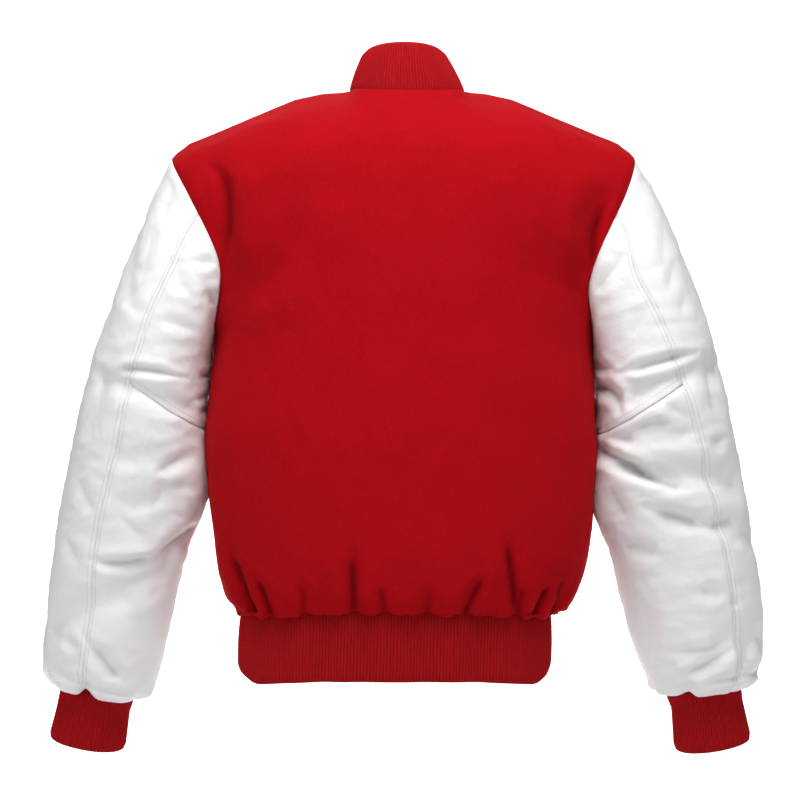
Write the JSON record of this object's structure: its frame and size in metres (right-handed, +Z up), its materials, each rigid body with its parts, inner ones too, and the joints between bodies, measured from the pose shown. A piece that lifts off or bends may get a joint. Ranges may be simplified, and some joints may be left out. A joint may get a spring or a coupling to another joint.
{
  "type": "varsity jacket",
  "caption": "Hip-length jacket with a stand rib collar, blouson body gathered onto a rib hem band, two-piece leather sleeves and rib cuffs, filled out as worn.",
  "frame": {"origin": "base of the neck, midway between the neck ends of the two shoulder seams, where the wearer's neck and shoulders hold the jacket", "axes": "+Z up along the wearer's spine, +Y towards the back, -Y towards the front closure, +X towards the wearer's left hand"},
  "size_m": [0.7996, 0.2808, 0.7759],
  "materials": {
    "wool_melton": "matt brushed melton wool, bright red, with a short nap and faint flecks",
    "sleeve_leather": "soft full-grain leather, white, semi-matt, with fine grain and creases",
    "rib_knit": "matt one-by-one rib knit, red, slightly darker than the wool",
    "snap_enamel": "smooth white enamelled caps, satin gloss"
  },
  "bodies": {
    "root": {"back": "wool_melton", "front_left": "wool_melton", "front_right": "wool_melton", "top_sleeve_left": "sleeve_leather", "under_sleeve_upper_left": "sleeve_leather", "under_sleeve_lower_left": "sleeve_leather", "cuff_left": "rib_knit", "top_sleeve_right": "sleeve_leather", "under_sleeve_upper_right": "sleeve_leather", "under_sleeve_lower_right": "sleeve_leather", "cuff_right": "rib_knit", "collar": "rib_knit", "hem_band": "rib_knit", "snap_1": "snap_enamel", "snap_2": "snap_enamel", "snap_3": "snap_enamel", "snap_4": "snap_enamel", "snap_5": "snap_enamel", "snap_6": "snap_enamel", "snap_7": "snap_enamel"}
  },
  "joints": []
}
